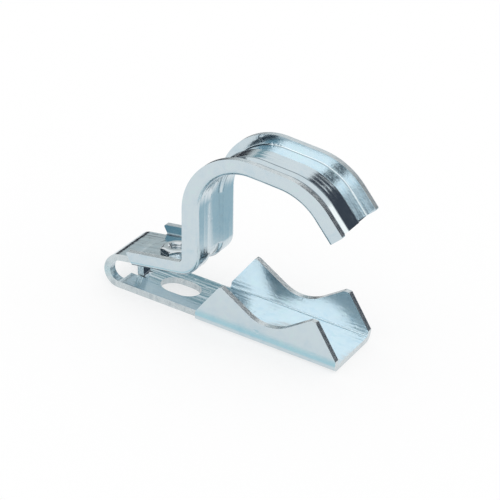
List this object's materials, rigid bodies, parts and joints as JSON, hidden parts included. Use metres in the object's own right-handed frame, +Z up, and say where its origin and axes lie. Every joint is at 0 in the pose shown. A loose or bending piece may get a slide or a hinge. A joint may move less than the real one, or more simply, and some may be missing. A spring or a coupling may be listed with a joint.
{
  "type": "conduit clip",
  "caption": "Folded sheet-metal clip: a slotted foot strap rolls through an eye into an arched jaw with a captive nut that clamps a pipe against a notched saddle.",
  "frame": {"origin": "centre of the bounding box at its lowest plane, which is the underside of the foot strap", "axes": "+X along the strap from the rolled eye to the notched saddle, +Y across the strap, +Z up from the underside to the crown of the arch"},
  "size_m": [0.0774, 0.025, 0.0539],
  "materials": {
    "zinc_steel": "satin",
    "nut_steel": "satin"
  },
  "bodies": {
    "root": {"clip_strap": "zinc_steel", "captive_nut": "nut_steel"}
  },
  "joints": []
}
